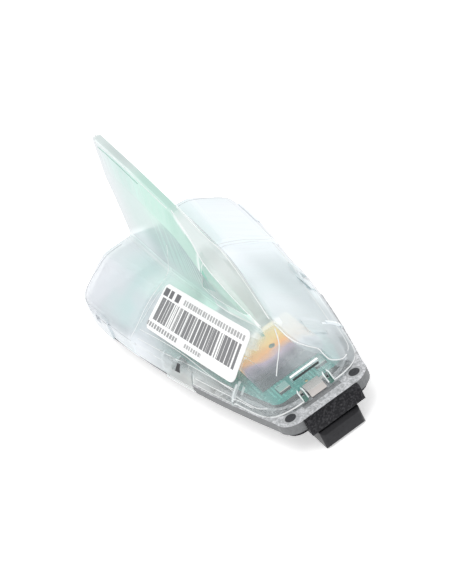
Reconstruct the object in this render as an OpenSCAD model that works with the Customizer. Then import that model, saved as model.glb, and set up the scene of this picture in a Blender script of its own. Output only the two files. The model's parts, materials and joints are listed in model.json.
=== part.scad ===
// Roof antenna module: a cast base plate that hooks and bolts into a roof opening,
// two circuit boards, a patch aerial and a clear moulded cover with a hollow fin.
// +X points to the nose, +Z up. The origin is on the fixing thread, at the roof skin.

/* [Base plate] */
// From the fixing thread to the nose edge of the flange
nose_reach = 62.5; // [56:0.5:70]
// From the fixing thread to the tail edge of the flange
tail_reach = 80.5; // [72:0.5:90]
// Half width of the flange at the tail
rear_half = 38; // [34:0.5:42]
// Half width of the flange where the nose corners start
nose_half = 16.8; // [15:0.2:19]
// Radius of the flange's nose corners
nose_corner = 6.5; // [4:0.5:8]
// Radius of the flange's tail corners
tail_corner = 9; // [8:0.5:12]
// Thickness of the cast flange
flange_t = 3.6; // [3:0.1:4.5]
// Thickness of the pocket floor inside the flange
floor_t = 1.6; // [1.2:0.1:2]
// Height of the lip that locates the cover
lip_h = 1; // [0.6:0.1:1]
// Thickness of that lip
lip_t = 1.6; // [1.2:0.1:2.2]

/* [Roof fixing] */
// Depth of the cast neck below the roof skin
neck_depth = 9.5; // [8:0.5:12]
// Length of the neck behind the connector housing
neck_len = 48; // [40:1:50]
// Width of the neck
neck_w = 19; // [16:0.5:21]
// Wall of the neck
neck_wall = 2.8; // [2:0.1:3.4]
// Radius of the bore in the threaded insert
thread_r = 2.5; // [2:0.1:3]
// Outer radius of the threaded insert
insert_r = 4.2; // [3.8:0.1:4.8]
// Depth of the thread above the mouth
thread_len = 11; // [9:0.5:12]
// Radius of the rear locating peg
peg_r = 3; // [2.5:0.1:3.5]
// Length of the rear locating peg below the roof skin
peg_len = 5; // [3:0.5:7]
// Distance of the peg behind the fixing thread
peg_back = 52; // [48:1:58]

/* [Roof seal] */
// Thickness of the seal between flange and roof
seal_t = 2; // [1.2:0.1:2.6]
// Width of the seal ring
seal_w = 5; // [4:0.5:7]
// Step from the flange edge in to the seal ring
seal_inset = 1.6; // [1.2:0.1:2]
// Radius of the seal's keying studs in the flange corners
stud_r = 2.6; // [2:0.1:3]
// Sideways place of the keying studs
stud_y = 12.2; // [11:0.1:13]
// Distance of the keying studs behind the nose edge
stud_back = 4.6; // [4:0.1:5.4]
// Width of the seal's lip on the nose edge
apron_w = 20; // [16:0.5:20]
// Thickness of that lip
apron_t = 1.8; // [1:0.1:2.5]

/* [Connector housing] */
// Length of the housing under the nose
housing_len = 33.5; // [32:0.5:36]
// Width of the housing
housing_w = 15; // [13:0.5:17]
// Gap for the roof sheet above the housing's front hook
hook_gap = 2.6; // [2:0.1:3.2]
// Length of the front hook
hook_len = 8.5; // [7:0.5:9]
// Inner radius of a coax socket
socket_r = 4.4; // [4.2:0.1:4.6]
// Depth of a coax socket
socket_depth = 9; // [8.5:0.1:9.5]
// Distance between the coax sockets
socket_pitch = 11.6; // [10.6:0.1:12]
// Number of coax sockets
socket_n = 2; // [1:1:2]
// Radius of a centre contact
contact_r = 0.6; // [0.4:0.1:0.8]
// Length of a centre contact inside its socket
contact_in = 3; // [2:0.1:3.2]

/* [Boards] */
// Thickness of the main board
board_t = 1.2; // [0.8:0.1:1.6]
// Height of the board's seats above the pocket floor
seat_h = 1.2; // [0.8:0.1:1.6]
// Distance of the main board's tail edge behind the fixing thread
board_back = 56; // [52:1:66]
// Thickness of the upright fin board
fin_board_t = 1; // [0.8:0.1:1.2]
// Clearance of a board inside its pocket or slot
board_gap = 0.4; // [0.3:0.1:0.8]

/* [Patch aerial] */
// Edge length of the ceramic patch
patch_w = 25; // [20:0.5:25]
// Thickness of the ceramic patch
patch_t = 3.6; // [3:0.1:3.8]
// Edge length of the metal face on the patch
face_w = 21.5; // [16:0.5:22]
// Distance of the patch's centre ahead of the fixing thread
patch_x = 27.6; // [26:0.1:28]

/* [Cover] */
// Wall of the cover
wall = 1.8; // [1.6:0.1:2]
// Height of the cover's deck above the roof skin
deck_z = 22.5; // [21.5:0.5:25]
// Height of the fin's tip above the roof skin
tip_z = 68; // [64:1:74]
// Distance of the cover's nose behind the flange's nose edge
cover_nose_back = 5.5; // [5:0.1:6]
// Distance of the cover's tail ahead of the flange's tail edge
cover_tail_in = 1.5; // [1:0.1:2]
// Step from the flange edge in to the cover's wall
cover_inset = 0.5; // [0.4:0.1:1]
// Clearance between the cover's wall and the lip inside it
lip_gap = 0.4; // [0.3:0.1:0.6]
// Height that the pads and snap bosses stand proud
pad_h = 0.6; // [0.3:0.1:0.8]

/* [Label] */
// Length of the label
label_l = 58.8; // [50:0.2:60]
// Width of the label
label_w = 17.8; // [14:0.2:18]
// Thickness of the label
label_t = 0.25; // [0.15:0.05:0.4]

/* [Hidden] */
eps = 0.01;
round_fn = 48;
seat = 0.05;

// Levels, from the roof skin up
flange_bottom = seal_t;
flange_top = flange_bottom + flange_t;
floor_top = flange_bottom + floor_t;
board_z = floor_top + seat_h;
board_top = board_z + board_t;
lip_top = flange_top + lip_h;

// Plan of the flange: the sides bow from the wide tail to the nose corners
tail_x = -tail_reach;
nose_x = nose_reach;
wide_x = -62;
lean = 0.075;
turn_r = 8;
function run(x) = (x - wide_x + norm([x - wide_x, turn_r]))/2;
bow_run = run(nose_x - nose_corner);
bow = (rear_half - nose_half - lean*bow_run)/pow(bow_run, 2);
function side(x) = rear_half - lean*run(x) - bow*pow(run(x), 2);

// Half outline from tail to nose, with both corners as arcs
function half_plan(o, xt, xn, rt, rn, n = 12) = concat(
  [for (i = [0:6]) let (a = 180 - 15*i)
    [xt + rt + rt*cos(a), side(xt + rt) - o - rt + rt*sin(a)]],
  [for (i = [1:n - 1]) let (x = xt + rt + (xn - rn - xt - rt)*i/n) [x, side(x) - o]],
  [for (i = [0:6]) let (a = 90 - 15*i)
    [xn - rn + rn*cos(a), side(xn - rn) - o - rn + rn*sin(a)]]
);
function mirrored(p) = [for (i = [len(p) - 1:-1:0]) [p[i][0], -p[i][1]]];
function plan(o, xt, xn, rt, rn) =
  let (h = half_plan(o, xt, xn, rt, rn)) concat(h, mirrored(h));

module slab(z0, z1, pts) {
  translate([0, 0, z0]) linear_extrude(z1 - z0) polygon(pts);
}

// Cover: ends, lip and pocket inside it
cover_tail = tail_x + cover_tail_in;
cover_nose = nose_x - cover_nose_back;
cover_tail_r = 8;
cover_nose_r = 9;
wall_lean = 1.3;
nose_lean = 2.2;
lip_bend_x = 34;
lip_in = cover_inset + wall + wall_lean + lip_gap;
lip_tail = cover_tail + wall + wall_lean + lip_gap;
lip_nose = cover_nose - wall - nose_lean - lip_gap;
pocket_in = lip_in + lip_t;
pocket_tail = lip_tail + lip_t;
pocket_nose = lip_nose - lip_t;

// Behind skirt_x the cover's rim drops past the flange as a skirt
skirt_x = 12.5;
skirt_z = flange_bottom + 0.4;
skirt_gap = 0.25;
skirt_lean = 1.05;
skirt_in = wall + skirt_lean + skirt_gap;
function rim_z(x) = x < skirt_x ? skirt_z : flange_top;

// Snap windows along each side, and the one in the nose
snap_x = [-58, 2.4];
boss_l = 19;
boss_h = 11;
window_l = 5;
window_z = flange_top + 1.6;
window_h = 3;
hook_play = 0.4;
nose_window_w = 7.4;
nose_window_h = 2.6;

boss_depth = 4.6;
side_rib_x = 35.2;
side_rib_h = 11.6;
notch_l = 1.6;
notch_h = 2;
pad_x = 37.7;
pad_y = 12.9;
grip_x = cover_nose - 5.1;
grip_w = 10.4;
grip_t = 1.3;
grip_z = 14.2;
tongue_slot = 3.6;

// Screws of the board and of the connector housing
board_screw_xy = [for (x = [-48, 9], s = [-1, 1]) [x, s*(side(x) - pocket_in - 3.4)]];
boss_r = 3;
screw_r = 1.2;
screw_head_r = 2.1;
screw_head_h = 1.4;
screw_gap = 0.05;
screw_bite = 2.4;

// Connector housing under the nose, with the neck behind it
housing_front = nose_x + 0.5;
housing_back = housing_front - housing_len;
housing_step = housing_front - hook_len;
housing_mid = (housing_back + housing_step)/2;
socket_x = [for (i = [0:socket_n - 1]) housing_mid + socket_pitch*(i - (socket_n - 1)/2)];
socket_top = socket_depth - neck_depth;
shell_t = 0.5;
shell_in = 1.5;
housing_screw_y = 4.9;
housing_screw_sink = 2;
neck_front = housing_back - 0.2;
neck_back = neck_front - neck_len;
stud_x = nose_x - stud_back;

// Fin: outline in side view, from the rear foot over the tip to the front foot
fin_tail = cover_tail + 4;
fin_foot = 35.8;
fin_bend = -5.8;
fin_drop = 11.4;
fin_draft = 0.128;
fin_tip_half = 1.5;
step_x = -29;
slope_end = cover_nose - 1.4;

// Lengthwise profiles of the cover's outside, as pairs of x and value
deck_profile = [
  [cover_tail, flange_top + 3], [cover_tail + 1.2, flange_top + 11.5],
  [fin_tail - 0.2, deck_z], [fin_foot, deck_z], [slope_end - 4, flange_top + 6.4],
  [slope_end, flange_top + 3], [cover_nose, flange_top + 1.6]
];
deck_half = [
  [cover_tail, 20], [fin_tail, 20], [step_x - 1, 15], [step_x + 1, 9.8],
  [0, 8], [18, 6.2], [fin_foot, 3], [slope_end - 8, 4.6], [slope_end, 7], [cover_nose, 8]
];
shoulder_z = [
  [cover_tail, flange_top + 2], [fin_tail, 12.6], [step_x - 1, 11], [step_x + 1, 10],
  [fin_foot, 8.8], [slope_end - 4, 8], [cover_nose, flange_top + 1]
];
shoulder_in = [
  [cover_tail, 0.4], [fin_tail, 0.9], [step_x - 1, 1.1], [step_x + 1, 1.8], [cover_nose, 1.6]
];
fin_profile = [
  [fin_tail - 0.3, 0], [fin_tail - 0.2, deck_z + 0.1], [fin_tail, deck_z + 4],
  [fin_tail + 0.3, tip_z - 7],
  [fin_tail + 1.6, tip_z - 3.2], [fin_tail + 4, tip_z - 1.1], [fin_tail + 8.5, tip_z],
  [-36, tip_z - 5], [fin_bend - 5, tip_z - fin_drop + 0.9], [fin_bend, tip_z - fin_drop - 0.6],
  [fin_bend + 5, tip_z - fin_drop - 4.2], [fin_bend + 11, tip_z - fin_drop - 9],
  [fin_foot, deck_z + 0.1], [fin_foot + 0.1, 0]
];
fin_top_half = [
  [fin_tail - 0.2, 0.6], [fin_tail + 0.3, 0.7], [fin_tail + 3, 1.4], [fin_tail + 9, 1.5],
  [-20, 1.2], [fin_bend, 1.1], [fin_bend + 11, 2.2], [11, 3.8], [17, 4.2], [24, 3.6],
  [fin_foot, 1.8]
];
fin_foot_half = [
  [fin_tail - 0.2, 5], [fin_tail, 5.6], [fin_tail + 2, 7.2], [-30, 7.3], [0, 6],
  [17, 5], [fin_foot, 2.2]
];

// What an arc of radius r takes off the half width at d from an outline's end
function end_cut(d, r) = d < r ? r - sqrt(max(0, r*r - (r - d)*(r - d))) : 0;
function cover_half(x) = side(x) - cover_inset - end_cut(x - cover_tail, cover_tail_r)
  - end_cut(cover_nose - x, cover_nose_r);

// Corner b of the path a-b-c as a curve that starts r away from it
function toward(b, a, r) = b + (a - b)*min(0.48, r/max(norm(a - b), eps));
function blend(a, b, c, r, n) =
  let (p = toward(b, a, r), q = toward(b, c, r))
  [for (i = [0:n]) let (t = i/n) p*pow(1 - t, 2) + b*2*t*(1 - t) + q*t*t];

// Half section of the cover at x, from the rim over the shoulder to the fin's top.
// A positive o is a step inwards, a negative one outwards.
function half_section(x, o) =
  let (
    full = cover_half(x),
    end = full/(side(x) - cover_inset),
    dz = lookup(x, deck_profile),
    sz = min(lookup(x, shoulder_z), dz - 0.6),
    fz = max(lookup(x, fin_profile), dz + 0.1),
    dh = min(lookup(x, deck_half), full*0.8),
    fh = min(lookup(x, fin_foot_half), dh*0.8),
    th = min(lookup(x, fin_top_half), fh*0.8),
    mz = dz + 0.7*(fz - dz),
    mh = max(th, min(fh, fin_tip_half + (tip_z - mz)*fin_draft)),
    rim = [full - o, o > 0 ? rim_z(x - 4) - 1 : rim_z(x)],
    shoulder = [full - lookup(x, shoulder_in)*end - o, sz - 0.62*o],
    deck = [dh - 0.3*o, dz - o],
    foot = [max(fh - 0.65*o, 0.5), dz - o],
    mid = [max(mh - 0.65*o, 0.45), mz - o],
    top = [max(th - 0.65*o, 0.4), fz - 1.2*o]
  )
  concat(
    [rim],
    blend(rim, shoulder, deck, 3.5, 3),
    blend(shoulder, deck, foot, 3, 2),
    blend(deck, foot, mid, min(3, (fz - dz)/3 + 0.05), 3),
    [mid],
    blend(mid, top, [0, fz - 1.2*o], max(th, 0.4), 2),
    [[0, fz - 1.2*o]]
  );

// Stations of the loft along the cover
stations = concat(
  [for (d = [0, 0.5, 1.2, 2.2, 3.2]) cover_tail + d],
  [for (d = [-0.2, 0, 0.3, 0.9, 1.6, 2.8, 4, 6, 8.5, 12, 18]) fin_tail + d],
  [-50, -43, -36, step_x - 1, step_x + 1, -22, -16, fin_bend - 5, fin_bend - 2, fin_bend],
  [for (d = [2.5, 5, 8, 11, 14]) fin_bend + d],
  [11, skirt_x - 0.1, skirt_x, 15, 17.5, 20, 24, 28, 32, fin_foot, 38.5, 41, 44, 47],
  [for (d = [7, 5, 3.6, 2.4, 1.4, 0.7, 0.3, 0]) cover_nose - d]
);

// Solid inside the cover's surface, moved inwards by o
module cover_body(o) {
  n = len(stations);
  k = (cover_nose - cover_tail - 2*o)/(cover_nose - cover_tail);
  rings = [
    for (x = stations)
    let (h = half_section(x, o), px = cover_tail + o + (x - cover_tail)*k)
    concat(
      [for (p = h) [px, p[0], p[1]]],
      [for (i = [len(h) - 2:-1:0]) [px, -h[i][0], h[i][1]]]
    )
  ];
  m = len(rings[0]);
  sides = [
    for (i = [0:n - 2], j = [0:m - 1])
    let (a = i*m + j, b = i*m + (j + 1)%m)
    each [[b, a, a + m], [b + m, b, a + m]]
  ];
  ends = [[for (j = [0:m - 1]) j], [for (j = [m - 1:-1:0]) (n - 1)*m + j]];
  polyhedron([for (r = rings) each r], concat(sides, ends));
}

// Flat plate with round corners, centred
module round_plate(l, w, t, r) {
  linear_extrude(t) hull()
    for (sx = [-1, 1], sy = [-1, 1])
      translate([sx*(l/2 - r), sy*(w/2 - r)]) circle(r, $fn = 32);
}

module base_casting() {
  color([0.72, 0.73, 0.75]) {
    difference() {
      union() {
        flange();
        // Locating lip, drawn in towards the nose
        slab(flange_top - eps, lip_top, plan(lip_in, lip_tail, lip_bend_x, cover_tail_r, 1));
        slab(flange_top - eps, lip_top, plan(lip_in + 0.6, lip_tail, lip_nose, cover_tail_r, cover_nose_r));
        // Neck that passes through the roof opening
        translate([neck_back, -neck_w/2, -neck_depth])
          cube([neck_len, neck_w, neck_depth + flange_bottom + eps]);
        // Locating peg
        translate([-peg_back, 0, -peg_len])
          cylinder(h = peg_len + flange_bottom + eps, r = peg_r, $fn = round_fn);
        snap_hooks();
      }
      board_pocket();
      neck_pockets();
      // Seat of the threaded insert
      translate([0, 0, -neck_depth - 1])
        cylinder(h = thread_len + 1 + seat, r = insert_r + seat, $fn = round_fn);
      for (p = board_screw_xy)
        translate([p[0], p[1], board_z - screw_bite])
          cylinder(h = screw_bite + 1, r = screw_r + screw_gap, $fn = round_fn);
      for (s = [-1, 1])
        translate([housing_mid, s*housing_screw_y, flange_bottom - 1])
          cylinder(h = 1 + screw_bite, r = screw_r + screw_gap, $fn = round_fn);
      for (x = socket_x)
        translate([x, 0, flange_bottom - 1])
          cylinder(h = floor_t + 2, r = contact_r + 1, $fn = round_fn);
      for (s = [-1, 1])
        translate([stud_x, s*stud_y, flange_bottom - 1])
          cylinder(h = flange_t + 2, r = stud_r + seat, $fn = round_fn);
    }
  }
}

// Flange: full width under the nose, drawn in behind the skirt
module flange() {
  slab(flange_bottom, flange_top, plan(cover_inset + skirt_in, cover_tail + skirt_in, nose_x,
    cover_tail_r, nose_corner));
  intersection() {
    slab(flange_bottom, flange_top, plan(0, tail_x, nose_x, tail_corner, nose_corner));
    translate([skirt_x + skirt_gap, -rear_half, 0]) cube([nose_x, 2*rear_half, lip_top]);
  }
}

// Pocket for the main board, with its screw bosses left standing
module board_pocket() {
  difference() {
    slab(floor_top, lip_top + 3, plan(pocket_in, pocket_tail, pocket_nose, 7, 4));
    for (p = board_screw_xy)
      translate([p[0], p[1], floor_top - 1]) cylinder(h = 1 + seat_h, r = boss_r, $fn = round_fn);
    for (s = [-1, 1])
      translate([housing_mid, s*housing_screw_y, floor_top - 1])
        cylinder(h = 1 + seat_h, r = boss_r - 0.4, $fn = round_fn);
  }
}

// Lightening pockets on both sides of the insert's boss
module neck_pockets() {
  rib = 1.8;
  longest = 12;
  w = neck_w - 2*neck_wall;
  spans = [
    [neck_back + neck_wall, -insert_r - neck_wall],
    [insert_r + neck_wall, neck_front - neck_wall]
  ];
  for (s = spans) {
    n = ceil((s[1] - s[0])/longest);
    l = (s[1] - s[0] - rib*(n - 1))/n;
    for (i = [0:n - 1])
      translate([s[0] + i*(l + rib), -w/2, -neck_depth - 1])
        cube([l, w, neck_depth + flange_bottom]);
  }
}

// Hooks on the lip that the cover's windows snap over
module snap_hooks() {
  z = window_z + hook_play/2;
  h = window_h - hook_play;
  w = window_l - 5*hook_play;
  back = lip_t - 0.3;
  reach = lip_in - cover_inset - 0.6;
  for (x = snap_x, s = [0, 1])
    mirror([0, s, 0]) translate([x, side(x) - pocket_in - 0.1, 0])
      rotate([0, 0, atan(side(x + 1) - side(x))]) translate([-w/2, 0, 0]) rotate([90, 0, 90])
      linear_extrude(w)
        polygon([
          [-lip_t, flange_top - eps], [back, flange_top - eps], [back, z],
          [lip_t + reach, z], [back, z + h], [0, z + h]
        ]);
  // Nose hook
  translate([lip_nose - lip_t, (nose_window_w - 1.6)/2, 0]) rotate([90, 0, 0])
    linear_extrude(nose_window_w - 1.6)
      polygon([
        [0, flange_top - eps], [lip_t - 0.3, flange_top - eps], [lip_t - 0.3, flange_top + 0.5],
        [lip_t + wall + nose_lean, flange_top + 0.5], [lip_t + nose_lean, flange_top + 2],
        [0, flange_top + 2]
      ]);
}

module thread_insert() {
  color([0.72, 0.58, 0.3]) difference() {
    translate([0, 0, -neck_depth]) cylinder(h = thread_len, r = insert_r, $fn = round_fn);
    translate([0, 0, -neck_depth - 1]) cylinder(h = thread_len, r = thread_r, $fn = round_fn);
    // Knurl relief round the middle
    translate([0, 0, -neck_depth + thread_len/2 - 0.7]) difference() {
      cylinder(h = 1.4, r = insert_r + 1, $fn = round_fn);
      translate([0, 0, -1]) cylinder(h = 4, r = insert_r - 0.6, $fn = round_fn);
    }
  }
}

// Moulded ring under the flange, keyed through it by two studs, with a lip on the nose edge
module roof_seal() {
  o1 = seal_inset;
  o2 = seal_inset + seal_w;
  color([0.24, 0.25, 0.27]) {
    difference() {
      union() {
        slab(0, seal_t, plan(o1, tail_x + o1, nose_x - o1, tail_corner - o1, nose_corner - o1));
        for (s = [-1, 1])
          translate([stud_x, s*stud_y, seal_t - eps]) cylinder(h = flange_t + eps, r = stud_r, $fn = round_fn);
        translate([nose_x - o1 - 1, -apron_w/2, 0]) cube([o1 + 1 + apron_t, apron_w, seal_t]);
        translate([nose_x, -apron_w/2, 0]) cube([apron_t, apron_w, flange_top]);
      }
      translate([0, 0, -1])
        slab(0, seal_t + 2, plan(o2, tail_x + o2, nose_x - o2, tail_corner - o1, nose_corner - o1));
      // Sealing groove along the ring
      difference() {
        slab(-1, 0.6, plan(o1 + 1.8, tail_x + o1 + 1.8, nose_x - o1 - 1.8, tail_corner - 3, nose_corner - 3));
        slab(-2, 1.6, plan(o2 - 1.6, tail_x + o2 - 1.6, nose_x - o2 + 1.6, tail_corner - 3, nose_corner - 3));
      }
    }
  }
}

module connector_housing() {
  color([0.1, 0.1, 0.11]) difference() {
    translate([housing_back, 0, 0]) housing_profile();
    for (x = socket_x) {
      translate([x, 0, -neck_depth - 1]) cylinder(h = socket_depth + 1, r = socket_r, $fn = round_fn);
      translate([x, 0, 0]) cylinder(h = 2*flange_bottom + 10, r = contact_r + seat, center = true, $fn = 24);
    }
    for (s = [-1, 1]) {
      translate([housing_mid, s*housing_screw_y, 0])
        cylinder(h = 4*neck_depth, r = screw_r + screw_gap, center = true, $fn = round_fn);
      translate([housing_mid, s*housing_screw_y, -neck_depth - 1])
        cylinder(h = 1 + housing_screw_sink, r = screw_head_r + screw_gap, $fn = round_fn);
    }
  }
}

// Side profile of the housing: full height behind, with a hook at the front
module housing_profile() {
  c = 1.2;
  step = housing_len - hook_len;
  intersection() {
    translate([0, housing_w/2, 0]) rotate([90, 0, 0]) linear_extrude(housing_w)
      polygon([
        [0, flange_bottom], [step, flange_bottom], [step, -hook_gap],
        [housing_len - c, -hook_gap], [housing_len, -hook_gap - c],
        [housing_len, c - neck_depth], [housing_len - c, -neck_depth], [0, -neck_depth]
      ]);
    translate([housing_len/2, 0, -2*neck_depth]) round_plate(housing_len, housing_w, 4*neck_depth, 1.6);
  }
}

module coax_shells() {
  color([0.75, 0.7, 0.5])
    for (x = socket_x)
      translate([x, 0, shell_in - neck_depth]) difference() {
        cylinder(h = socket_depth - shell_in, r = socket_r - seat, $fn = round_fn);
        translate([0, 0, -1])
          cylinder(h = socket_depth, r = socket_r - seat - shell_t, $fn = round_fn);
        translate([0, 0, socket_depth - shell_in - 1.2])
          cylinder(h = 2, r = socket_r - seat - shell_t, $fn = round_fn);
      }
}

module coax_contacts() {
  color([0.8, 0.66, 0.3])
    for (x = socket_x)
      translate([x, 0, socket_top - contact_in])
        cylinder(h = board_top - 0.2 - socket_top + contact_in, r = contact_r, $fn = 24);
}

// Pan head screw with its head's seat at the origin, pointing up into its hole
module screw(l) {
  cylinder(h = l, r = screw_r, $fn = 24);
  translate([0, 0, -screw_head_h]) difference() {
    cylinder(h = screw_head_h, r = screw_head_r, $fn = 32);
    translate([0, 0, -0.1]) for (a = [0, 90])
      rotate([0, 0, a]) translate([-1.2, -0.3, 0]) cube([2.4, 0.6, 0.8]);
  }
}

module housing_screws() {
  color([0.55, 0.56, 0.58])
    for (s = [-1, 1])
      translate([housing_mid, s*housing_screw_y, housing_screw_sink - neck_depth])
        screw(neck_depth - housing_screw_sink + flange_bottom + screw_bite - 0.6);
}

module board_screws() {
  color([0.7, 0.7, 0.72])
    for (p = board_screw_xy)
      translate([p[0], p[1], board_top]) mirror([0, 0, 1]) screw(board_t + screw_bite - 0.3);
}

module main_board() {
  g = pocket_in + board_gap;
  color([0.12, 0.45, 0.38]) difference() {
    slab(board_z, board_top, plan(g, -board_back, pocket_nose - board_gap, 4, 4));
    for (p = board_screw_xy)
      translate([p[0], p[1], board_z - 1]) cylinder(h = board_t + 2, r = screw_r + 0.2, $fn = 32);
    for (x = socket_x)
      translate([x, 0, board_z - 1]) cylinder(h = board_t + 2, r = contact_r + seat, $fn = 24);
    translate([patch_x, 0, board_z - 1]) cylinder(h = board_t + 2, r = feed_r + seat, $fn = 24);
    for (x = board_pin_x)
      translate([x, 0, board_z - 1]) cylinder(h = board_t + 2, r = pin_r + seat, $fn = 24);
  }
}

module ground_springs() {
  color([0.8, 0.74, 0.5])
    for (p = [[-30, 20], [-30, -20], [24, 0]])
      translate([p[0] - 2, p[1] + 1.2, floor_top]) rotate([90, 0, 0]) linear_extrude(2.4)
        polygon([
          [0, 0], [4, 0], [4, 0.25], [0.3, 0.25], [0.3, seat_h - 0.25], [3.4, seat_h - 0.25],
          [3.4, seat_h], [0, seat_h]
        ]);
}

// Patch aerial on its adhesive pad
pad_t = 0.4;
patch_z = board_top + pad_t;
patch_top = patch_z + patch_t;
face_t = 0.1;
feed_r = 0.5;

module patch_pad() {
  color([0.9, 0.9, 0.88]) translate([patch_x, 0, board_top]) difference() {
    round_plate(patch_w - 1, patch_w - 1, pad_t, 1);
    translate([0, 0, -1]) cylinder(h = 3, r = feed_r + 0.5, $fn = 24);
  }
}

module patch_ceramic() {
  c = 1.6;
  h = patch_w/2;
  color([0.85, 0.72, 0.5]) translate([patch_x, 0, patch_z]) difference() {
    linear_extrude(patch_t) polygon([
      [-h + c, -h], [h, -h], [h, h - c], [h - c, h], [-h, h], [-h, -h + c]
    ]);
    translate([0, 0, -1]) cylinder(h = patch_t + 2, r = feed_r + seat, $fn = 24);
  }
}

module patch_face() {
  c = 2.4;
  h = face_w/2;
  color([0.75, 0.75, 0.76]) translate([patch_x, 0, patch_top]) difference() {
    linear_extrude(face_t) polygon([
      [-h + c, -h], [h, -h], [h, h - c], [h - c, h], [-h, h], [-h, -h + c]
    ]);
    translate([0, 0, -1]) cylinder(h = 3, r = feed_r + seat, $fn = 24);
  }
}

module patch_feed_pin() {
  color([0.8, 0.78, 0.7]) translate([patch_x, 0, board_z]) {
    cylinder(h = patch_top + face_t - board_z, r = feed_r, $fn = 24);
    translate([0, 0, patch_top + face_t - board_z]) cylinder(h = 0.3, r = 1.1, $fn = 24);
  }
}

// Folded tin can with vent holes, standing on the board
module tin_can(l, w, h, holes) {
  t = 0.3;
  difference() {
    cube([l, w, h]);
    translate([t, t, -1]) cube([l - 2*t, w - 2*t, h + 1 - t]);
    for (i = [0:holes - 1], j = [0:1])
      translate([l*(i + 1)/(holes + 1), w*(j + 1)/3, h - 1]) cylinder(h = 2, r = 0.8, $fn = 24);
    // Corner slits of the folded sheet
    for (x = [-1, l - 1.2]) translate([x, -1, -1]) cube([2.2, 1 + t, 1.8]);
  }
}

module amplifier_can() {
  color([0.78, 0.79, 0.8]) translate([-24, 5.5, board_top]) tin_can(27, 13.5, 3.4, 4);
}

module tuner_can() {
  color([0.78, 0.79, 0.8]) translate([-44, -19, board_top]) tin_can(24, 13.5, 4, 4);
}

module filter_blocks() {
  color([0.78, 0.68, 0.55])
    for (p = [[-12, -9], [-4, -9], [-12, -16.5]])
      translate([p[0] - 3, p[1] - 2.5, board_top]) difference() {
        cube([6, 5, 2.4]);
        for (x = [1.6, 4.4]) translate([x, -1, 1.2]) rotate([-90, 0, 0]) cylinder(h = 7, r = 0.5, $fn = 24);
      }
}

module chip_packages() {
  color([0.13, 0.13, 0.14])
    for (p = [[-36, 11, 7], [-47, 10, 5], [7, -9, 5], [44.5, 7, 4], [44.5, -7, 4]])
      translate([p[0] - p[2]/2, p[1] - p[2]/2, board_top]) difference() {
        cube([p[2], p[2], 1]);
        translate([0.9, 0.9, 0.85]) cylinder(h = 1, r = 0.4, $fn = 24);
      }
}

module capacitors() {
  color([0.6, 0.62, 0.65])
    for (p = [[-28.5, 8], [-28.5, 14], [1, -17], [-50, -8]])
      translate([p[0], p[1], board_top]) {
        cylinder(h = 0.6, r = 2.1, $fn = 32);
        cylinder(h = 4, r = 1.8, $fn = 32);
      }
}

// Upright board in the fin, on the centre plane
fin_board_back = -52;
fin_board_front = 12;
clip_x = [-44, -14];
clip_l = 6;
clip_h = 3;
pin_r = 0.35;
board_pin_x = [-34, -31, -28, -25];
fin_board_outline = [
  [fin_board_back, board_top], [fin_board_front, board_top], [fin_board_front, patch_top + 2],
  [fin_board_front + 11, patch_top + 2], [fin_board_front + 11, deck_z - 1],
  [fin_bend + 10, tip_z - fin_drop - 15.5], [fin_bend, tip_z - fin_drop - 8.6],
  [-36, tip_z - 12], [-58, tip_z - 9], [-60, tip_z - 12], [-58, deck_z - 3]
];

module fin_board() {
  color([0.2, 0.6, 0.45]) translate([0, fin_board_t/2, 0]) rotate([90, 0, 0])
    linear_extrude(fin_board_t) polygon(fin_board_outline);
}

module fin_board_clips() {
  g = fin_board_t/2 + seat;
  color([0.15, 0.15, 0.16])
    for (x = clip_x)
      translate([x - clip_l/2, -2.2, board_top]) difference() {
        cube([clip_l, 4.4, clip_h]);
        translate([-1, 2.2 - g, -1]) cube([clip_l + 2, 2*g, clip_h + 2]);
      }
}

// Solder pins that join the two boards
module fin_board_pins() {
  y = fin_board_t/2 + pin_r + seat;
  color([0.8, 0.8, 0.78])
    for (x = board_pin_x)
      translate([x, y, board_top]) {
        cylinder(h = 2.2, r = pin_r, $fn = 24);
        difference() {
          cylinder(h = 0.3, r = pin_r + 0.3, $fn = 24);
          translate([-1, -1 - pin_r, -1]) cube([2, 1, 2]);
        }
      }
}

// Prisms that mark the raised places on the cover
module raised_places() {
  for (s = [0, 1]) mirror([0, s, 0]) {
    // Sloping pad ahead of the label
    translate([pad_x, pad_y, 0]) rotate([0, 0, -9]) round_plate(7.4, 5.4, 2*deck_z, 1.2);
    // Boss round each snap window
    for (x = snap_x)
      translate([x - boss_l/2, side(x) - boss_depth, skirt_z]) cube([boss_l, 2*boss_depth, boss_h - skirt_z]);
    // Upright rib ahead of the front boss
    translate([side_rib_x, side(side_rib_x) - boss_depth, flange_top])
      cube([0.9, 2*boss_depth, side_rib_h - flange_top]);
  }
}

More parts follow.
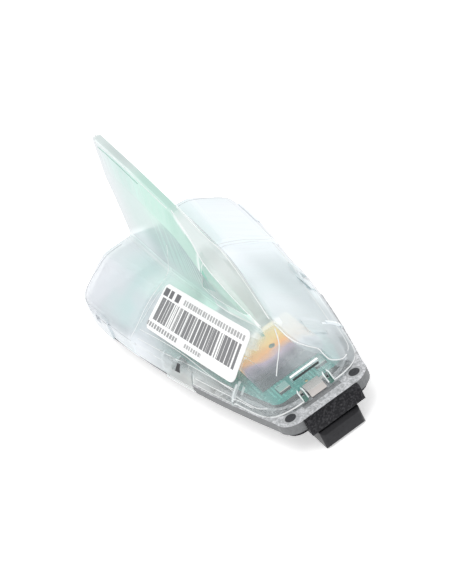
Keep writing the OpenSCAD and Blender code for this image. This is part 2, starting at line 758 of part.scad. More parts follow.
module clear_cover() {
  // One smooth moulded skin, kept as a single faceted shape
  color([0.85, 0.93, 0.93, 0.5]) resize([0, 0, 0]) difference() {
    union() {
      cover_body(0);
      intersection() {
        cover_body(-pad_h);
        raised_places();
        translate([cover_tail, -rear_half, skirt_z]) cube([cover_nose - cover_tail, 2*rear_half, deck_z]);
      }
      // Grip rib of the snap tongue
      translate([grip_x, -grip_w/2, flange_top]) cube([grip_t, grip_w, grip_z - flange_top]);
    }
    cover_body(wall);
    // Side windows
    for (x = snap_x, s = [0, 1])
      mirror([0, s, 0]) translate([x - window_l/2, side(x) - pocket_in - 0.6, window_z])
        cube([window_l, pocket_in + 4, window_h]);
    // Drain notches in the skirt behind the front windows
    for (s = [0, 1])
      mirror([0, s, 0]) translate([snap_x[1] - boss_l/2, side(snap_x[1]) - pocket_in, skirt_z - 1])
        cube([notch_l, 2*pocket_in, notch_h + 1]);
    // Nose window and the slots that free the snap tongue
    translate([lip_nose - lip_t - 0.6, -nose_window_w/2, flange_top - 1])
      cube([10, nose_window_w, nose_window_h + 1]);
    for (s = [-1, 1])
      translate([cover_nose - tongue_slot, s*(nose_window_w/2 + 1.2) - 0.6, flange_top + 1.2])
        cube([tongue_slot + 1, 1.2, 10]);
  }
}

// Printed label that lies on the near slope of the cover
label_x = 3.6;
label_y = -15.1;
label_z = 16.9;
label_turn = 6.5;
label_tilt = 33.5;
module cover_label() {
  color([0.95, 0.95, 0.95]) resize([0, 0, 0]) difference() {
    intersection() {
      cover_body(-label_t - seat);
      translate([label_x, label_y, label_z]) rotate([0, 0, label_turn]) rotate([label_tilt, 0, 0])
        translate([0, 0, -3]) round_plate(label_l, label_w, 6, 2.4);
    }
    cover_body(-seat);
  }
}

base_casting();
thread_insert();
roof_seal();
connector_housing();
coax_shells();
coax_contacts();
housing_screws();
main_board();
board_screws();
ground_springs();
patch_pad();
patch_ceramic();
patch_face();
patch_feed_pin();
amplifier_can();
tuner_can();
filter_blocks();
chip_packages();
capacitors();
fin_board();
fin_board_clips();
fin_board_pins();
clear_cover();
cover_label();
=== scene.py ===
"""Looks for the roof antenna: finishes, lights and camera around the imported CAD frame.

The CAD frame gives the place of every piece. This script dresses those pieces, adds the small
details that only matter to the eye, and lights and frames them the way the photograph does.
All places are in the CAD frame: +X to the nose, +Z up. Lengths are in metres, except in the
finishes, the label and the moulded lines, which say millimetres.
"""

from __future__ import annotations

import json
import logging
import math
from dataclasses import dataclass, field
from enum import Enum
from typing import Sequence

import bmesh
import bpy
from mathutils import Matrix, Vector
from mathutils.bvhtree import BVHTree

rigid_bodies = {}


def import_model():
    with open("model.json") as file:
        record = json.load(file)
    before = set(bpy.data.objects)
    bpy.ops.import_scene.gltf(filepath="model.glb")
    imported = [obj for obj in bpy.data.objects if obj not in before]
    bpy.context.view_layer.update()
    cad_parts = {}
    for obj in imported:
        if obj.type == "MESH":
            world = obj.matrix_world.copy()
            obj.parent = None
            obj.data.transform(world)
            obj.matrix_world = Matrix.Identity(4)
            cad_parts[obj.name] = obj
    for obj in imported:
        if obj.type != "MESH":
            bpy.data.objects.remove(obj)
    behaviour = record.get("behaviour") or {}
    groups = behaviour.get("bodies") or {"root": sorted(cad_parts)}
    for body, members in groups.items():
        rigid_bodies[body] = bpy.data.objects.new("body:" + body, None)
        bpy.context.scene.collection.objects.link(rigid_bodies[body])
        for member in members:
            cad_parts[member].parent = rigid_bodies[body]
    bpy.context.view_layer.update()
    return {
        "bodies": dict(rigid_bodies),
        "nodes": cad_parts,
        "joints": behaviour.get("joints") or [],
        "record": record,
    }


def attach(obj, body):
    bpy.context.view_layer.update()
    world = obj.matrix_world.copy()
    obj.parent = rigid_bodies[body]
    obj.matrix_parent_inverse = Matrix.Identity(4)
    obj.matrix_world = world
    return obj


logging.basicConfig(level=logging.INFO, format="%(levelname)s %(name)s: %(message)s")
LOG = logging.getLogger("antenna")

RGB = tuple[float, float, float]
Pair = tuple[float, float]

# One millimetre in metres, and millimetres in a metre
MM = 0.001
PER_METRE = 1000

# White of lamps and surroundings, with full alpha
WHITE = (1, 1, 1, 1)

# Least angle between two faces that shows as an edge, in degrees
SHARP_CAD = 28
SHARP_LINE = 40


class Slot(Enum):
    """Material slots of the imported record."""

    CAST = "cast_metal"
    SEAL = "seal_rubber"
    BLACK = "black_plastic"
    BRASS = "brass"
    CONTACT = "contact_metal"
    STEEL = "screw_steel"
    BOARD = "board_green"
    FIN_BOARD = "fin_board_green"
    CERAMIC = "ceramic"
    PATCH = "patch_metal"
    TIN = "tinned_sheet"
    CHIP = "chip_black"
    PAD = "pad_white"
    CLEAR = "clear_plastic"
    LABEL = "label_white"


class Graph:
    """Builds the nodes of one material."""

    def __init__(self, name: str) -> None:
        """Starts an empty material.

        Args:
            name: Name of the material.
        """
        self.material = bpy.data.materials.new(name)
        self.material.use_nodes = True
        self.tree = self.material.node_tree
        self.tree.nodes.clear()

    def node(self, kind: str, props: dict | None = None, inputs: dict | None = None) -> bpy.types.Node:
        """Makes one shader node.

        Args:
            kind: Blender's name of the node type.
            props: Values set on the node itself.
            inputs: Input name or index to a number, colour, vector or socket.

        Returns:
            The new node.
        """
        made = self.tree.nodes.new(kind)
        for key, value in (props or {}).items():
            setattr(made, key, value)
        for key, value in (inputs or {}).items():
            self.feed(made.inputs[key], value)
        return made

    def feed(self, socket: bpy.types.NodeSocket, value: object) -> None:
        """Links or sets one input.

        Args:
            socket: Input to fill.
            value: A MathSocket, a node output or a constant.
        """
        source = value.socket if isinstance(value, MathSocket) else value
        if isinstance(source, bpy.types.NodeSocket):
            self.tree.links.new(source, socket)
        else:
            socket.default_value = source

    def wrap(self, node: bpy.types.Node, output: int | str = 0) -> MathSocket:
        """Gives a node's output operators.

        Args:
            node: Node whose output is used.
            output: Name or index of the output.

        Returns:
            The output as a MathSocket.
        """
        return MathSocket(self, node.outputs[output])

    def random(self, value: MathSocket) -> MathSocket:
        """Turns a whole number into a random one.

        Args:
            value: Number of the cell.

        Returns:
            A number from 0 to 1.
        """
        made = self.node("ShaderNodeTexWhiteNoise", {"noise_dimensions": "1D"}, {"W": value})
        return self.wrap(made, 0)

    def place(self) -> tuple[MathSocket, MathSocket, MathSocket]:
        """Splits the object coordinates.

        Returns:
            x, y and z in millimetres of the CAD frame.
        """
        coords = self.node("ShaderNodeTexCoord")
        parts = self.node("ShaderNodeSeparateXYZ", inputs={0: coords.outputs["Object"]})
        x, y, z = (self.wrap(parts, axis) * PER_METRE for axis in range(3))
        return x, y, z

    def facing(self) -> tuple[MathSocket, MathSocket, MathSocket]:
        """Splits the surface's own direction.

        Returns:
            x, y and z of the normal.
        """
        shape = self.node("ShaderNodeNewGeometry")
        parts = self.node("ShaderNodeSeparateXYZ", inputs={0: shape.outputs["Normal"]})
        return self.wrap(parts, 0), self.wrap(parts, 1), self.wrap(parts, 2)

    def noise(self, scale: float, detail: float = 3.0, stretch: RGB = (1, 1, 1)) -> MathSocket:
        """Noise in object coordinates.

        Args:
            scale: Cycles per metre.
            detail: Number of octaves.
            stretch: Factor on each axis.

        Returns:
            The noise, from 0 to 1.
        """
        coords = self.node("ShaderNodeTexCoord")
        mapping = self.node(
            "ShaderNodeMapping", inputs={"Vector": coords.outputs["Object"], "Scale": stretch}
        )
        noise = self.node(
            "ShaderNodeTexNoise",
            inputs={"Vector": mapping.outputs[0], "Scale": scale, "Detail": detail},
        )
        return self.wrap(noise, 0)

    def ramp(self, value: MathSocket, stops: Sequence[tuple[float, RGB]]) -> MathSocket:
        """Turns a number into a colour.

        Args:
            value: Number from 0 to 1.
            stops: Pairs of place and colour, in rising order.

        Returns:
            The colour.
        """
        made = self.node("ShaderNodeValToRGB", inputs={0: value})
        band = made.color_ramp
        while len(band.elements) < len(stops):
            band.elements.new(1.0)
        for element, (place, colour) in zip(band.elements, stops):
            element.position = place
            element.color = (*colour, 1)
        return self.wrap(made)

    def mix(self, factor: object, a: object, b: object) -> MathSocket:
        """Mixes two colours.

        Args:
            factor: Share of b.
            a: First colour.
            b: Second colour.

        Returns:
            The mixed colour.
        """
        made = self.node("ShaderNodeMix", {"data_type": "RGBA"})
        self.feed(made.inputs[0], factor)
        self.feed(made.inputs[6], (*a, 1) if isinstance(a, tuple) else a)
        self.feed(made.inputs[7], (*b, 1) if isinstance(b, tuple) else b)
        return self.wrap(made, 2)

    def bump(self, height: MathSocket, strength: float, distance: float) -> MathSocket:
        """Makes a bump normal.

        Args:
            height: Height map.
            strength: From 0 to 1.
            distance: Height of the bump in metres.

        Returns:
            The normal.
        """
        made = self.node(
            "ShaderNodeBump", inputs={"Strength": strength, "Distance": distance, "Height": height}
        )
        return self.wrap(made)

    def principled(self, **inputs: object) -> bpy.types.Node:
        """Makes the surface shader and ends the material.

        Args:
            **inputs: Input names with underscores for spaces.

        Returns:
            The Principled node.
        """
        named = {}
        for key, value in inputs.items():
            if key == "Base_Color" and isinstance(value, tuple):
                value = (*value, 1)
            named[key.replace("_", " ")] = value
        shader = self.node("ShaderNodeBsdfPrincipled", inputs=named)
        self.end(shader.outputs[0])
        return shader

    def end(self, surface: bpy.types.NodeSocket) -> None:
        """Joins a shader to the material's output.

        Args:
            surface: Shader output.
        """
        self.node("ShaderNodeOutputMaterial", inputs={0: surface})


@dataclass
class MathSocket:
    """A shader output that takes part in arithmetic."""

    graph: Graph
    socket: bpy.types.NodeSocket

    def _op(self, operation: str, *others: object, clamp: bool = False) -> MathSocket:
        """Adds one Math node.

        Args:
            operation: Blender's name of the operation.
            *others: The other inputs.
            clamp: Keep the result from 0 to 1.

        Returns:
            The result.
        """
        inputs = {0: self}
        inputs.update({i + 1: o for i, o in enumerate(others)})
        made = self.graph.node("ShaderNodeMath", {"operation": operation, "use_clamp": clamp}, inputs)
        return MathSocket(self.graph, made.outputs[0])

    def __add__(self, other: object) -> MathSocket:
        """Sum with another number."""
        return self._op("ADD", other)

    __radd__ = __add__

    def __sub__(self, other: object) -> MathSocket:
        """This less another number."""
        return self._op("SUBTRACT", other)

    def __rsub__(self, other: float) -> MathSocket:
        """A plain number less this."""
        return self * -1 + other

    def __mul__(self, other: object) -> MathSocket:
        """Product with another number."""
        return self._op("MULTIPLY", other)

    __rmul__ = __mul__

    def __truediv__(self, other: object) -> MathSocket:
        """This over another number."""
        return self._op("DIVIDE", other)

    def __pow__(self, other: object) -> MathSocket:
        """This to a power."""
        return self._op("POWER", other)

    def __lt__(self, other: object) -> MathSocket:
        """1 where this is less, otherwise 0."""
        return self._op("LESS_THAN", other)

    def __gt__(self, other: object) -> MathSocket:
        """1 where this is greater, otherwise 0."""
        return self._op("GREATER_THAN", other)

    def __abs__(self) -> MathSocket:
        """Size without its sign."""
        return self._op("ABSOLUTE")

    def __mod__(self, other: object) -> MathSocket:
        """Remainder, never below 0."""
        return self._op("FLOORED_MODULO", other)

    def largest(self, other: object) -> MathSocket:
        """Larger of this and another number."""
        return self._op("MAXIMUM", other)

    def floor(self) -> MathSocket:
        """Whole part."""
        return self._op("FLOOR")

    def clamped(self) -> MathSocket:
        """Kept from 0 to 1."""
        return self._op("ADD", 0.0, clamp=True)

    def span(self, low: float, high: float, soft: bool = True) -> MathSocket:
        """Share of the way from low to high, kept from 0 to 1.

        Args:
            low: Value that gives 0.
            high: Value that gives 1.
            soft: Smooth ends.

        Returns:
            The share.
        """
        made = self.graph.node(
            "ShaderNodeMapRange",
            {"interpolation_type": "SMOOTHSTEP" if soft else "LINEAR"},
            {"Value": self, "From Min": low, "From Max": high},
        )
        return MathSocket(self.graph, made.outputs[0])


@dataclass(frozen=True)
class Finish:
    """A plain finish with a little variation."""

    slot: Slot
    colour: RGB
    roughness: float
    metallic: float = 0.0
    spread: float = 0.12
    grain: float = 900.0
    bump: float = 0.0
    shine: float = 0.5
    swing: float = 0.14

    def build(self) -> bpy.types.Material:
        """Makes the material."""
        graph = Graph(self.slot.value)
        grain = graph.noise(self.grain)
        dark = tuple(c * (1 - self.spread) for c in self.colour)
        light = tuple(min(1.0, c * (1 + self.spread)) for c in self.colour)
        inputs = {
            "Base_Color": graph.mix(grain, dark, light),
            "Roughness": grain * self.swing + (self.roughness - self.swing / 2),
            "Metallic": self.metallic,
            "Specular_IOR_Level": self.shine,
        }
        if self.bump:
            inputs["Normal"] = graph.bump(grain, 0.5, self.bump)
        graph.principled(**inputs)
        return graph.material


PLAIN = (
    Finish(Slot.BLACK, (0.017, 0.017, 0.02), 0.3, 0.0, 0.5, 900, 0.00006, 0.25),
    Finish(Slot.BRASS, (0.72, 0.5, 0.22), 0.3, 1.0),
    Finish(Slot.CONTACT, (0.85, 0.66, 0.3), 0.25, 1.0),
    Finish(Slot.STEEL, (0.6, 0.6, 0.62), 0.35, 1.0),
    Finish(Slot.TIN, (0.74, 0.76, 0.78), 0.3, 0.9),
    Finish(Slot.PAD, (0.8, 0.8, 0.78), 0.7),
)


@dataclass(frozen=True)
class Axes:
    """A flat local frame inside the CAD frame, in millimetres."""

    centre: RGB
    turn: float
    tilt: float

    def local(self, graph: Graph) -> tuple[MathSocket, MathSocket]:
        """Gives the local coordinates of the shaded point.

        Args:
            graph: Material being built.

        Returns:
            Distance along the length and across it, in millimetres.
        """
        turn, tilt = math.radians(self.turn), math.radians(self.tilt)
        along = (math.cos(turn), math.sin(turn), 0.0)
        across = (
            -math.sin(turn) * math.cos(tilt),
            math.cos(turn) * math.cos(tilt),
            math.sin(tilt),
        )
        place = graph.place()
        out = []
        for axis in (along, across):
            offset = -sum(a * c for a, c in zip(axis, self.centre))
            out.append(sum((p * a for p, a in zip(place, axis)), 0.0) + offset)
        return out[0], out[1]


# Outline of the real object that the finishes follow, in millimetres of the CAD frame

# Where the far slope starts: pairs of x and y, and a number above every y
RIDGE = (
    (-80, 0), (20, 3), (36, 2.2), (41, 2.9), (44, 4.2), (46, 6.4), (47.5, 8.4), (50, 8.5),
    (52.4, 9), (53.2, 12), (56, 16),
)
RIDGE_SCALE = 20

# Top edge of the fin in side view: pairs of x and z, and a number above every z
FIN_TOP = (
    (-75, 61), (-71, 67), (-66.5, 68), (-36, 63), (-5.8, 56), (-0.8, 52.4), (5.2, 47.6),
    (35.8, 22.6), (40, 19),
)
FIN_SCALE = 70

# Centre of the left keying stud: x and y
STUD = (57.9, 12.2)

# Round end of the left slot beside the tongue: x and y
SLOT = (55.0, 4.9)


def profile(graph: Graph, place: MathSocket, points: Sequence[Pair], scale: float) -> MathSocket:
    """Looks a value up along a line of points.

    Args:
        graph: Material being built.
        place: Place to look up.
        points: Pairs of place and value, in rising order.
        scale: A number above every value.

    Returns:
        The value at that place.
    """
    low, high = points[0][0], points[-1][0]
    stops = [((p - low) / (high - low), (value / scale,) * 3) for p, value in points]
    return graph.ramp((place - low) / (high - low), stops) * scale


@dataclass(frozen=True)
class BoardFinish:
    """Circuit board: solder mask over broken lanes of track and a grid of pads."""

    slot: Slot
    mask: RGB
    track: RGB
    lanes_per_mm: float = 0.8
    lane_width: float = 0.4
    pads_per_mm: float = 0.4
    pad_width: float = 0.3
    pad_share: float = 0.8
    roughness: float = 0.32

    def build(self) -> bpy.types.Material:
        """Makes the material."""
        graph = Graph(self.slot.value)
        x, y, z = graph.place()
        across = y + z
        lanes = ((across * self.lanes_per_mm) % 1.0) < self.lane_width
        patches = graph.noise(110, 1, (1, 1.6, 1.6)) > 0.5
        columns = ((x * self.pads_per_mm) % 1.0) < self.pad_width
        rows = ((across * self.pads_per_mm) % 1.0) < self.pad_width
        share = (lanes * patches).largest(columns * rows * self.pad_share)
        graph.principled(
            Base_Color=graph.mix(share, self.mask, self.track), Roughness=self.roughness
        )
        return graph.material


@dataclass(frozen=True)
class SealFinish:
    """Black moulded elastomer, with a light rim round each keying stud."""

    slot: Slot = Slot.SEAL
    black: RGB = (0.008, 0.008, 0.01)
    fleck: RGB = (0.05, 0.05, 0.054)
    stud: RGB = (0.07, 0.073, 0.078)
    rim: tuple[RGB, RGB] = ((0.3, 0.31, 0.32), (0.55, 0.56, 0.57))
    stud_z: float = 5.4
    stud_edge: Pair = (1.7, 2.0)
    rim_edge: Pair = (3.2, 3.0)
    stud_share: float = 0.6
    shine: float = 0.1

    def build(self) -> bpy.types.Material:
        """Makes the material."""
        graph = Graph(self.slot.value)
        x, y, z = graph.place()
        grain = graph.noise(1500, 2)
        fleck = grain.span(0.4, 0.8)
        radius = ((x - STUD[0]) ** 2 + (abs(y) - STUD[1]) ** 2) ** 0.5
        inner, outer = self.stud_edge
        rim = (z > self.stud_z) * radius.span(inner, outer) * radius.span(*self.rim_edge)
        middle = (z > self.stud_z) * radius.span(outer, inner) * self.stud_share
        body = graph.mix(middle, graph.mix(fleck, self.black, self.fleck), self.stud)
        graph.principled(
            Base_Color=graph.mix(rim, body, graph.mix(grain, *self.rim)),
            Roughness=fleck * 0.2 + 0.35,
            Specular_IOR_Level=self.shine,
            Normal=graph.bump(grain, 0.6, 0.0003),
        )
        return graph.material


@dataclass(frozen=True)
class PatchFinish:
    """Patch aerial, body or face: amber at the back, purple and grey towards the nose, with a painted
    glow in its own colours that lifts its shade.
    """

    slot: Slot
    roughness: float
    painted_glow: float = 0.43
    back_x: float = 15.4
    length: float = 27
    slant: float = 0.25
    wander: float = 0.35
    run: tuple[tuple[float, RGB], ...] = (
        (0.0, (0.98, 0.84, 0.5)),
        (0.34, (1.0, 0.7, 0.32)),
        (0.5, (0.95, 0.52, 0.22)),
        (0.64, (0.4, 0.32, 0.42)),
        (0.78, (0.17, 0.16, 0.2)),
        (1.0, (0.06, 0.06, 0.07)),
    )

    def build(self) -> bpy.types.Material:
        """Makes the material."""
        graph = Graph(self.slot.value)
        x, y, _ = graph.place()
        cloud = graph.noise(120, 2)
        way = (x - self.back_x - y * self.slant) / self.length + (cloud - 0.5) * self.wander
        colour = graph.ramp(way, self.run)
        graph.principled(
            Base_Color=colour,
            Roughness=self.roughness,
            # Painted light: the patch glows in its own colours, to lift the shade inside the cover
            Emission_Color=colour,
            Emission_Strength=self.painted_glow,
        )
        return graph.material


@dataclass(frozen=True)
class ChipFinish:
    """Moulded packages: black, with teal tops towards the nose and pale ones at it."""

    slot: Slot = Slot.CHIP
    black: tuple[RGB, RGB] = ((0.025, 0.025, 0.028), (0.04, 0.04, 0.044))
    teal: RGB = (0.24, 0.46, 0.42)
    pale: tuple[RGB, RGB] = ((0.6, 0.55, 0.5), (0.4, 0.52, 0.48))
    teal_x: float = 40
    pale_x: float = 46
    roughness: float = 0.5

    def build(self) -> bpy.types.Material:
        """Makes the material."""
        graph = Graph(self.slot.value)
        x, _, _ = graph.place()
        _, _, nz = graph.facing()
        cloud = graph.noise(260, 2).span(0.3, 0.7)
        black = graph.mix(graph.noise(900), *self.black)
        lid = graph.mix(x > self.pale_x, self.teal, graph.mix(cloud, *self.pale))
        top = (x > self.teal_x) * (nz > 0.5)
        graph.principled(Base_Color=graph.mix(top, black, lid), Roughness=self.roughness)
        return graph.material


@dataclass(frozen=True)
class Layer:
    """One colour laid over the cover where a zone is."""

    zone: str
    colour: RGB
    share: float = 1.0


# Laid one over the other in this order, on the plain colour of the cover
LAYERS = (
    Layer("rear", (0.87, 0.9, 0.95)),
    Layer("far", (0.85, 0.9, 0.94), 0.7),
    Layer("far_cloud", (0.8, 0.91, 0.92), 0.5),
    Layer("far_edge", (0.68, 0.76, 0.79), 0.4),
    Layer("blotch", (0.66, 0.88, 0.87), 0.7),
    Layer("fin", (0.46, 0.75, 0.66)),
    Layer("belly", (0.52, 0.76, 0.67), 0.8),
    Layer("ridge", (0.74, 0.83, 0.81), 0.8),
    Layer("fin_tail", (0.81, 0.87, 0.88)),
    Layer("leaf", (0.74, 0.81, 0.78)),
    Layer("band", (0.6, 0.76, 0.7), 0.7),
    Layer("wedge_depth", (0.07, 0.36, 0.25)),
    Layer("outline", (0.26, 0.28, 0.32)),
    Layer("shade", (0.05, 0.06, 0.06)),
    Layer("well", (0.1, 0.24, 0.2)),
    Layer("gleam", (0.95, 0.97, 0.97)),
    Layer("lit_dimmed", (0.52, 0.59, 0.58)),
    Layer("deep", (0.34, 0.6, 0.5), 0.6),
    Layer("skirt", (0.5, 0.54, 0.57), 0.5),
    Layer("foot_light", (0.96, 0.97, 0.94), 0.7),
)

# How much each zone hides of what is behind it
HIDES = {
    "far_veil": 1.0,
    "rear": 0.46,
    "wall": 0.2,
    "fin": 0.18,
    "leaf_veil": 1.0,
    "tail": 0.26,
    "belly": 0.44,
    "foot": 0.2,
    "shelf_veil": 1.0,
    "haze": 0.16,
    "ridge": 0.1,
    "band": 0.3,
    "painted_glow": 0.2,
    "foot_veil": 0.08,
    "outline": 0.4,
    "grip": 1.0,
    "wedge": 0.8,
    "shade": 1.0,
    "well": 0.7,
}


@dataclass(frozen=True)
class Spot:
    """The shaded point of the cover: its place in millimetres, its direction and its noises."""

    graph: Graph
    x: MathSocket
    y: MathSocket
    z: MathSocket
    near: MathSocket
    lit: MathSocket
    facing: MathSocket
    cloud: MathSocket
    mist: MathSocket
    streak: MathSocket

    @classmethod
    def read(cls, graph: Graph) -> Spot:
        """Reads the point.

        Args:
            graph: Material being built.

        Returns:
            The point.
        """
        x, y, z = graph.place()
        _, ny, nz = graph.facing()
        return cls(
            graph, x, y, z,
            near=ny.span(-0.3, -0.6),
            lit=nz.span(0.1, 0.95),
            facing=graph.wrap(graph.node("ShaderNodeLayerWeight", inputs={"Blend": 0.4}), 1),
            cloud=graph.noise(38, 2),
            mist=graph.noise(95, 3),
            streak=graph.noise(420, 3, (0.12, 1, 1)),
        )


@dataclass(frozen=True)
class ClearFinish:
    """Frosted clear plastic: milky at the tail and on the far slope, clearer at the nose, with a painted
    glow that lifts its shade.
    """

    slot: Slot = Slot.CLEAR
    plain: RGB = (0.78, 0.86, 0.87)
    leaf_top: RGB = (0.86, 0.91, 0.9)
    # Emission colours: painted light on the shaded foot of the fin, and a faint painted glow elsewhere
    fill_glow: RGB = (0.9, 0.95, 0.97)
    faint_glow: RGB = (0.04, 0.043, 0.043)
    deck_top: float = 23.2
    fin_z: Pair = (21, 27)
    skirt_foot: Pair = (9.5, 6.6)
    slot_x: float = 52
    bare_veil: float = 0.08
    edge_veil: float = 0.14
    cloud_veil: float = 0.08
    refraction: float = 1.45
    shine: float = 0.4
    # Strength of the painted glow
    painted_glow: float = 0.4

    def deck(self, spot: Spot) -> dict[str, MathSocket]:
        """Finds the zones of the deck and the skirts.

        Args:
            spot: Shaded point.

        Returns:
            Share of each zone.
        """
        x, y, z, cloud = spot.x, spot.y, spot.z, spot.cloud
        beyond = (y - profile(spot.graph, x, RIDGE, RIDGE_SCALE)).span(0.0, 1.2)
        far = beyond * x.span(-75.5, -73.5) * (z < self.deck_top)
        foot = spot.near * z.span(*self.skirt_foot)
        return {
            # The slope on the far side of the ridge, its clouds and its outer edge
            "far": far,
            "far_veil": far * (x.span(46, 36) * 0.26 + 0.24),
            "far_cloud": far * cloud.span(0.4, 0.65),
            "far_edge": far * y.span(13, 20) * x.span(-34, -16),
            # Where light spreads inside that slope, painted as a glow
            "pool": far * spot.lit * x.span(-36, -8) * x.span(38, 20) * y.span(20, 9),
            # Milky tail, the foot of both skirts, and blotches on the near slope
            "rear": x.span(8, -34),
            "wall": z.span(11.5, 9.0) * abs(y).span(12, 15) * (x.span(28, 16) * 0.8 + 0.2),
            "blotch": x.span(-66, -46) * x.span(-22, -36) * (y < -8) * cloud.span(0.35, 0.6),
            # Near skirt: its shaded part at the tail and its light foot towards the nose
            "skirt": spot.near * z.span(13.5, 11) * x.span(-29, -34) * (y < -28),
            "foot_light": foot * x.span(-12, 6) * x.span(36, 26),
            "foot_veil": foot * x.span(2, 12),
            # Painted dark edge lines where the surface turns away from the eye
            "outline": spot.facing.span(0.55, 0.9),
        }

    def fin(self, spot: Spot) -> dict[str, MathSocket]:
        """Finds the zones of the fin and of the leaf on its front.

        Args:
            spot: Shaded point.

        Returns:
            Share of each zone.
        """
        x, y, z, near = spot.x, spot.y, spot.z, spot.near
        fin = z.span(*self.fin_z)
        rise = z - profile(spot.graph, x, FIN_TOP, FIN_SCALE)
        wedge = near * (x > 1.2 + (z - 28.2) * 0.79) * (z > 28.2 + (x - 1.2) * 0.26)
        wedge = wedge * (x < 15.6 - (z - 32) * 0.64) * (z < 41)
        band = near * (1 - wedge) * (x > 9.4) * (z > 24.4) * x.span(35, 27)
        top = rise.span(-1.6, -0.6) * (x > -4) * (z > 22.4)
        leaf = top.largest(x.span(7, 9.5) * (z > 23.4)) * (1 - band) * (1 - wedge)
        tail = x.span(-48, -76) * fin
        foot = z.span(38, 25) * fin * x.span(-66, -45) * x.span(-4, -36)
        shelf = (y < -2) * (z > 17) * (z < 27) * x.span(-6, 4) * x.span(37, 33)
        return {
            # The whole fin, its top rim, its tail end and the foot of that end
            "fin": fin,
            "ridge": rise.span(-2.4, -1.0) * fin * (x < 2),
            "tail": tail,
            "foot": foot,
            "fin_tail": (tail + foot * 0.8).clamped(),
            # Deeper green behind the leaf, and the shaded foot of the fin, which a painted glow lifts
            "deep": fin * x.span(-40, -24) * x.span(0, -8) * z.span(42, 48),
            "dim": near * fin * (x * 0.42 + 57.4 - z).span(0, 3) * x.span(-32, -54) * 0.45,
            # Painted shade: facets that the lamp strikes are painted darker, to calm their light
            "lit_dimmed": spot.lit * fin * (x.span(18, 6) * 0.73 + 0.06),
            # Deck along the fin's near foot, and the streaked shelf before it
            "belly": x.span(-46, -14) * x.span(12, 7) * z.span(18.2, 21) * (y < 3),
            "shelf_veil": shelf * (spot.streak * 0.5 + 0.16),
            # The leaf, its band on the near side and the green wedge at its foot
            "leaf": leaf,
            "leaf_top": x.span(27, 15),
            "leaf_veil": leaf * (x.span(27, 15) * 0.08 + 0.22),
            "band": band,
            "wedge": wedge,
            "wedge_depth": wedge * (x.span(16, 5) * 0.4 + 0.6),
        }

    def nose(self, spot: Spot) -> dict[str, MathSocket]:
        """Finds the zones of the nose: its haze, and the rims of its tongue and slots.

        Args:
            spot: Shaded point.

        Returns:
            Share of each zone.
        """
        x, y, z, wide = spot.x, spot.y, spot.z, abs(spot.y)
        arch = ((SLOT[0] - x).largest(0.0) ** 2 + abs(wide - SLOT[1]) ** 2) ** 0.5
        rim = (x > self.slot_x) * (abs(arch - 0.98) < 0.2) * (z > 7.2) * 0.6
        rib = (x > 35.1) * (x < 36.2) * (wide > 16) * (z < 11.8) * (z > 7) * 0.35
        tongue = (x > 52.2) * (x < 53.2) * (wide < 5.25) * (z > 13.7)
        grip = tongue.largest(rim).largest(rib)
        painted_glow = x.span(31, 34) * x.span(38, 35.5) * (z > 21) * spot.mist.span(0.3, 0.6)
        misty = (z < 22) * spot.mist.span(0.44, 0.66)
        return {
            # Painted highlights on the rims of the tongue, the slots and the side rib, and the painted
            # glow beside them
            "grip": grip,
            "painted_glow": painted_glow,
            "gleam": grip.largest(painted_glow * 0.5),
            # Bottom of the slots, and the shadow line of the tongue
            "well": (x > self.slot_x) * (arch < 0.75) * (z > 6.4),
            "shade": (x > 53) * (x < 53.4) * (wide < 4.9) * (z < 13.5) * (z > 12.6),
            # Mist before the patch
            "haze": x.span(38, 43) * misty * (y.span(-8, 0) * 0.8 + 0.2),
        }

    def tint(self, spot: Spot, zones: dict[str, MathSocket]) -> MathSocket:
        """Lays the colours one over the other.

        Args:
            spot: Shaded point.
            zones: Share of each zone.

        Returns:
            The colour.
        """
        mix = spot.graph.mix
        colour = self.plain
        for layer in LAYERS:
            paint = layer.colour
            # The leaf alone has two colours: one at its foot and one at its top
            if layer.zone == "leaf":
                paint = mix(zones["leaf_top"], paint, self.leaf_top)
            colour = mix(zones[layer.zone] * layer.share, colour, paint)
        return colour

    def veil(self, spot: Spot, zones: dict[str, MathSocket]) -> MathSocket:
        """Works out how much the plastic hides.

        Args:
            spot: Shaded point.
            zones: Share of each zone.

        Returns:
            The alpha, from 0 to 1.
        """
        hidden = spot.facing * self.edge_veil + (spot.cloud - 0.5) * self.cloud_veil + self.bare_veil
        for zone, share in HIDES.items():
            hidden = hidden + zones[zone] * share
        return hidden.clamped()

    def build(self) -> bpy.types.Material:
        """Makes the material."""
        graph = Graph(self.slot.value)
        spot = Spot.read(graph)
        zones = self.deck(spot) | self.fin(spot) | self.nose(spot)
        colour = self.tint(spot, zones)
        # Painted light: the cover glows faintly everywhere, more where light pools on the far slope,
        # most on the shaded foot of the fin
        spread = graph.mix(zones["pool"] * 0.4, self.faint_glow, colour)
        graph.principled(
            Base_Color=colour,
            Roughness=spot.streak * 0.06 + 0.11,
            Alpha=self.veil(spot, zones),
            IOR=self.refraction,
            Specular_IOR_Level=self.shine,
            Emission_Color=graph.mix(zones["dim"], spread, self.fill_glow),
            Emission_Strength=self.painted_glow,
        )
        return graph.material


